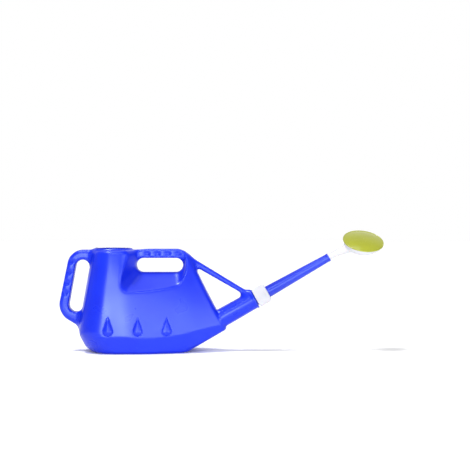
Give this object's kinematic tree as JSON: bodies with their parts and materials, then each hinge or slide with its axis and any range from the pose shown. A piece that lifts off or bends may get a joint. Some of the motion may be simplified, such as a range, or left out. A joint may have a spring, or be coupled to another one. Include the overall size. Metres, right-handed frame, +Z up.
{
  "type": "watering can",
  "caption": "Blow-moulded watering can with a rear and a top handle, a braced spout stub, a screwed-on tapered pipe and a push-fit rose.",
  "frame": {"origin": "on the ground under the middle of the flat base", "axes": "+X towards the spout, +Z up, and the mould's parting plane is y = 0"},
  "size_m": [0.7263, 0.15, 0.2675],
  "materials": {
    "blue_plastic": "soft gloss blow-moulded polyethylene",
    "blue_pipe_plastic": "gloss injection-moulded polyethylene",
    "white_plastic": "satin",
    "olive_plastic": "high gloss",
    "black_rubber": "matte"
  },
  "bodies": {
    "can": {"can_body": "blue_plastic"},
    "washer": {"spout_washer": "black_rubber"},
    "nut": {"collar_nut": "white_plastic"},
    "pipe": {"spout_pipe": "blue_pipe_plastic"},
    "rose_ring": {"rose_seal": "black_rubber"},
    "rose": {"rose_back": "white_plastic"},
    "rose_cap": {"rose_face": "olive_plastic"}
  },
  "joints": [
    {"name": "nut_lift", "type": "slide", "parent": "can", "child": "washer", "axis": [0.8695, 0, 0.4939], "range_m": [0, 0.0121]},
    {"name": "nut_turn", "type": "hinge", "parent": "washer", "child": "nut", "pos_m": [0.26865, 0, 0.12439], "axis": [0.8695, 0, 0.4939], "range_deg": [0, 1080]},
    {"name": "pipe_turn", "type": "hinge", "parent": "washer", "child": "pipe", "pos_m": [0.27735, 0, 0.12933], "axis": [0.8695, 0, 0.4939], "continuous": true},
    {"name": "rose_pull", "type": "slide", "parent": "pipe", "child": "rose_ring", "axis": [0.8695, 0, 0.4939], "range_m": [0, 0.03]},
    {"name": "rose_turn", "type": "hinge", "parent": "rose_ring", "child": "rose", "pos_m": [0.41794, 0, 0.2092], "axis": [0.8695, 0, 0.4939], "continuous": true},
    {"name": "face_pull", "type": "slide", "parent": "rose", "child": "rose_cap", "axis": [0.0881, -0.4806, 0.8725], "range_m": [0, 0.012]}
  ],
  "couplings": [
    {"joint": "nut_lift", "follows": "nut_turn", "m_per_rad": 0.00063662}
  ]
}
